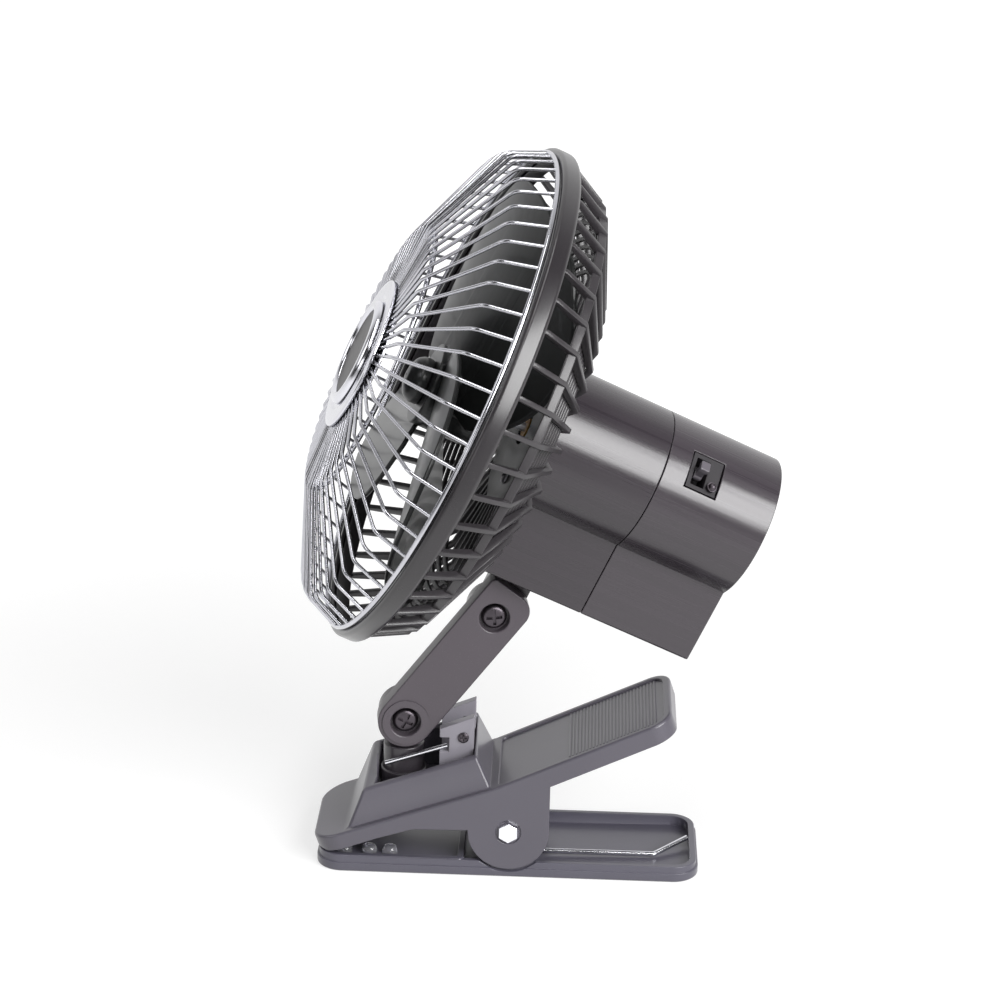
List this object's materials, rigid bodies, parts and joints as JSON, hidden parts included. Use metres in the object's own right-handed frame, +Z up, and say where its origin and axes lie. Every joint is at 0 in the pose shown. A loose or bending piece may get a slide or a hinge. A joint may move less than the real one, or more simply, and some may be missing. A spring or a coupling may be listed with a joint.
{
  "type": "portable camping fan",
  "caption": "Caged fan head with a motor and battery housing, on a two-pivot arm and a swivel base carried by a sprung clip with a grooved handle.",
  "frame": {"origin": "on the flat underside of the clip's lower jaw, straight below the clip's hinge", "axes": "+Z up, +X across the clip, -Y the way the fan blows and the clip's jaws open"},
  "size_m": [0.1744, 0.1613, 0.244],
  "materials": {
    "clip_plastic": "satin",
    "rubber": "matt",
    "clear_rubber": "clear",
    "bright_steel": "bright",
    "dark_plastic": "satin",
    "screw_steel": "brushed",
    "arm_plastic": "satin",
    "housing_plastic": "gloss",
    "rim_plastic": "gloss",
    "cage_plastic": "satin",
    "chrome": "polished",
    "blade_plastic": "gloss",
    "copper": "plain",
    "magnet": "matt",
    "white_plastic": "matt",
    "brass": "plain",
    "cell_sleeve": "gloss",
    "board": "matt"
  },
  "bodies": {
    "clip_base": {"lower_jaw": "clip_plastic", "tray_nubs": "clear_rubber", "hinge_bolt": "bright_steel", "hinge_nut": "bright_steel", "clip_spring": "bright_steel"},
    "clip_lever": {"upper_jaw": "clip_plastic", "jaw_pad": "rubber", "tie_bracket": "clip_plastic", "tie_screw": "screw_steel", "tie_wire": "bright_steel"},
    "turret": {"swivel_base": "dark_plastic", "swivel_washer": "screw_steel", "swivel_screw": "screw_steel"},
    "arm_body": {"arm": "arm_plastic", "lower_pivot_screw": "screw_steel", "lower_pivot_nut": "bright_steel", "upper_pivot_screw": "screw_steel", "upper_pivot_nut": "bright_steel"},
    "head": {"front_housing": "housing_plastic", "rear_housing": "housing_plastic", "rear_screws": "screw_steel", "guard_rim": "rim_plastic", "rear_cage": "cage_plastic", "cage_slats": "cage_plastic", "cage_screws": "screw_steel", "grille_wires": "chrome", "grille_rings": "chrome", "badge_plate": "chrome", "badge_bezel": "chrome", "badge_disc": "dark_plastic", "badge_back": "chrome", "motor_can": "bright_steel", "motor_magnets": "magnet", "motor_end_cap": "white_plastic", "front_bush": "brass", "rear_bush": "brass", "motor_cushions": "rubber", "motor_screws": "screw_steel", "battery_cell": "cell_sleeve", "battery_contacts": "brass", "control_board": "board", "charge_socket": "dark_plastic", "switch_body": "dark_plastic", "switch_collar": "dark_plastic"},
    "fan": {"fan_blade": "blade_plastic", "spinner": "blade_plastic", "motor_shaft": "bright_steel", "rotor": "copper", "commutator": "copper"},
    "lever": {"switch_lever": "white_plastic"}
  },
  "joints": [
    {"name": "clip_hinge", "type": "hinge", "parent": "clip_base", "child": "clip_lever", "pos_m": [0, 0, 0.0167], "axis": [-1, 0, 0], "range_deg": [0, 30], "stiffness_Nm_per_rad": 0.9, "springref_deg": -74.48, "deforming": ["clip_spring"]},
    {"name": "base_swivel", "type": "hinge", "parent": "clip_lever", "child": "turret", "pos_m": [0, -0.0369, 0.0245], "axis": [0, 0, 1], "range_deg": [-82, 68]},
    {"name": "lower_tilt", "type": "hinge", "parent": "turret", "child": "arm_body", "pos_m": [0, -0.0369, 0.0495], "axis": [0.9925, 0.1219, 0], "range_deg": [-6, 50]},
    {"name": "head_tilt", "type": "hinge", "parent": "arm_body", "child": "head", "pos_m": [-0.0036, -0.00756, 0.08693], "axis": [0.9925, 0.1219, 0], "range_deg": [-10, 18]},
    {"name": "blade_spin", "type": "hinge", "parent": "head", "child": "fan", "pos_m": [-0.00169, -0.02314, 0.16393], "axis": [0.1102, -0.8973, 0.4274], "continuous": true},
    {"name": "switch_rock", "type": "hinge", "parent": "head", "child": "lever", "pos_m": [0.00563, 0.05756, 0.14126], "axis": [-0.1102, 0.8973, -0.4274], "range_deg": [0, 24]}
  ]
}
